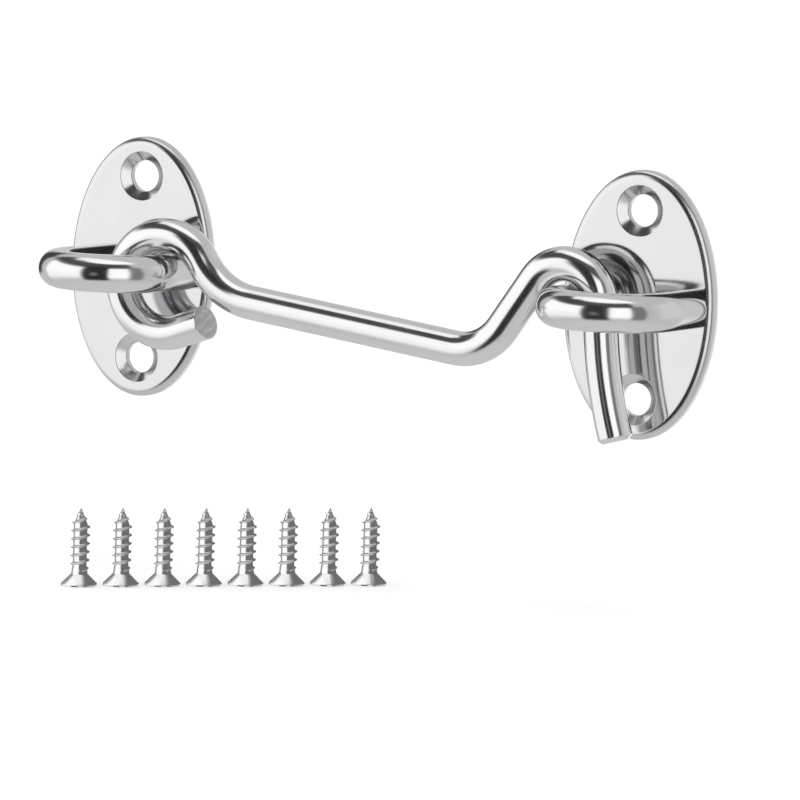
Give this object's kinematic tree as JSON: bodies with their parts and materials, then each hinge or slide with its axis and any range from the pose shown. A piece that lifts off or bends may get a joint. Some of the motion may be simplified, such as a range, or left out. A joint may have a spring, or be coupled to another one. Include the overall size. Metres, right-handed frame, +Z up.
{
  "type": "hook and eye latch",
  "caption": "Polished stainless steel cabin hook: a bent wire hook hinged on a riveted wire eye on an oval plate, dropping over a matching catch eye, with countersunk screws.",
  "frame": {"origin": "centre of the back face of the fixed plate, on the wall plane", "axes": "+X from the fixed plate to the catch plate, +Y into the wall, +Z up"},
  "size_m": [0.111, 0.0407, 0.0648],
  "materials": {
    "plate_steel": "mirror polished",
    "wire_steel": "mirror polished",
    "screw_steel": "bright"
  },
  "bodies": {
    "mounted_plates": {"fixed_plate": "plate_steel", "fixed_eye": "wire_steel", "catch_plate": "plate_steel", "catch_eye": "wire_steel", "screw_1": "screw_steel", "screw_2": "screw_steel", "screw_3": "screw_steel", "screw_4": "screw_steel", "screw_5": "screw_steel", "screw_6": "screw_steel", "screw_7": "screw_steel", "screw_8": "screw_steel"},
    "hook": {"hook": "wire_steel"}
  },
  "joints": [
    {"name": "hook_lift", "type": "hinge", "parent": "mounted_plates", "child": "hook", "pos_m": [0.0086, -0.0083, -0.0017], "axis": [0, -1, 0], "range_deg": [0, 150]}
  ]
}
